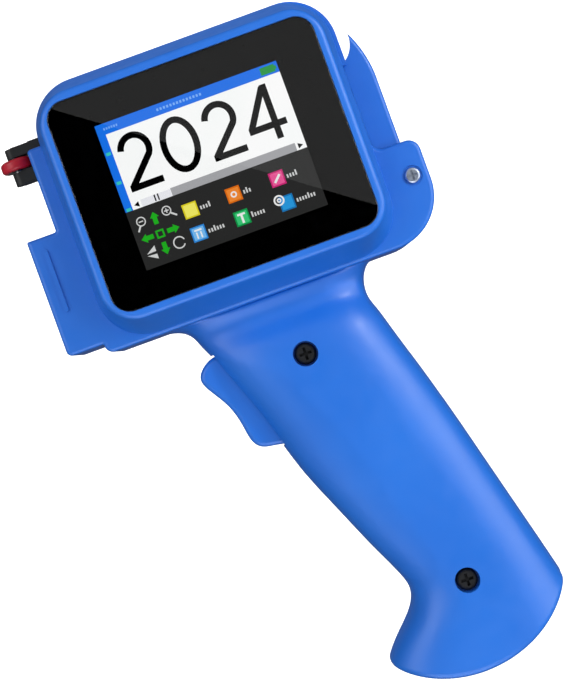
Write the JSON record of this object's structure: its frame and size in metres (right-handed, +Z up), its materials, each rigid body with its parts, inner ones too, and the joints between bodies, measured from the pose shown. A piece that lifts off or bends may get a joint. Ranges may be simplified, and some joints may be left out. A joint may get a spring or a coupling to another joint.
{
  "type": "handheld date code inkjet printer",
  "caption": "Pistol-grip inkjet date coder: a two-half casing with a touch screen box, a cartridge bay with a rear door, a print nose with a measuring wheel, and a trigger.",
  "frame": {"origin": "middle of the hand grip, halfway between its two screws, on the casing's parting plane", "axes": "+Z up through the head, +X towards the rear door (the print face looks along -X), -Y is the side that the screen faces"},
  "size_m": [0.1438, 0.0553, 0.2467],
  "materials": {
    "blue_abs": "fine moulded satin",
    "black_abs": "fine spark-eroded moulded texture",
    "black_glass": "black-backed polished cover glass",
    "display": "display glass",
    "tinned_steel": "tinned sheet",
    "circuit_board": "green solder mask",
    "chip_black": "matt epoxy and nylon",
    "brass": "turned",
    "zinc_steel": "bright zinc plated",
    "black_steel": "black oxide",
    "ground_steel": "ground bright",
    "gold_plate": "gold plated",
    "cartridge_plastic": "moulded glass-filled plastic",
    "acetal": "natural moulded acetal",
    "magnet": "bonded ferrite",
    "red_rubber": "ground silicone rubber",
    "button_grey": "moulded satin",
    "light_pipe": "clear moulded acrylic",
    "cell_wrap": "shrink sleeve over a steel can"
  },
  "bodies": {
    "casing": {"left_shell": "blue_abs", "right_shell": "blue_abs", "screen_bezel": "blue_abs", "cartridge_stall": "black_abs", "encoder_bracket": "black_abs", "battery_holder": "black_abs", "dc_jack": "black_abs", "usb_tongue": "black_abs", "touch_glass": "black_glass", "display_panel": "display", "display_backlight": "tinned_steel", "usb_port": "tinned_steel", "battery_contacts": "tinned_steel", "main_board": "circuit_board", "contact_board": "circuit_board", "button_switch": "circuit_board", "board_parts": "chip_black", "buzzer": "chip_black", "encoder_sensor": "chip_black", "trigger_switch": "chip_black", "board_posts": "brass", "grip_inserts": "brass", "dc_jack_pin": "brass", "board_screws": "zinc_steel", "bezel_screws": "zinc_steel", "stall_screws": "zinc_steel", "hinge_screws": "zinc_steel", "encoder_screw": "zinc_steel", "grip_screws": "black_steel", "trigger_pin": "ground_steel", "encoder_axle": "ground_steel", "trigger_spring": "ground_steel", "contact_pins": "gold_plate", "hinge_bushes": "acetal", "button_ring": "button_grey", "status_light": "light_pipe", "battery_cells": "cell_wrap"},
    "door": {"cartridge_door": "blue_abs"},
    "trigger": {"trigger": "blue_abs"},
    "measuring_wheel": {"encoder_hub": "acetal", "encoder_tyre": "red_rubber", "magnet_ring": "magnet"},
    "cartridge": {"cartridge_body": "cartridge_plastic", "cartridge_lid": "cartridge_plastic", "nozzle_plate": "gold_plate", "cartridge_contacts": "gold_plate"},
    "power_button": {"power_button": "button_grey"}
  },
  "joints": [
    {"name": "door_hinge", "type": "hinge", "parent": "casing", "child": "door", "pos_m": [0.0437, 0, 0.0935], "axis": [0, 1, 0], "range_deg": [0, 100]},
    {"name": "trigger_pull", "type": "hinge", "parent": "casing", "child": "trigger", "pos_m": [-0.0375, 0, 0.0526], "axis": [0, -1, 0], "range_deg": [0, 7.5], "stiffness_Nm_per_rad": 0.6, "springref_deg": -8.59, "deforming": ["trigger_spring"]},
    {"name": "wheel_spin", "type": "hinge", "parent": "casing", "child": "measuring_wheel", "pos_m": [-0.0882, 0, 0.1471], "axis": [0, 0, 1], "continuous": true},
    {"name": "cartridge_slide", "type": "slide", "parent": "casing", "child": "cartridge", "axis": [1, 0, 0], "range_m": [0, 0.04]},
    {"name": "power_press", "type": "slide", "parent": "casing", "child": "power_button", "axis": [0, -1, 0], "range_m": [0, 0.0005], "stiffness_N_per_m": 300, "springref_m": -0.002}
  ]
}
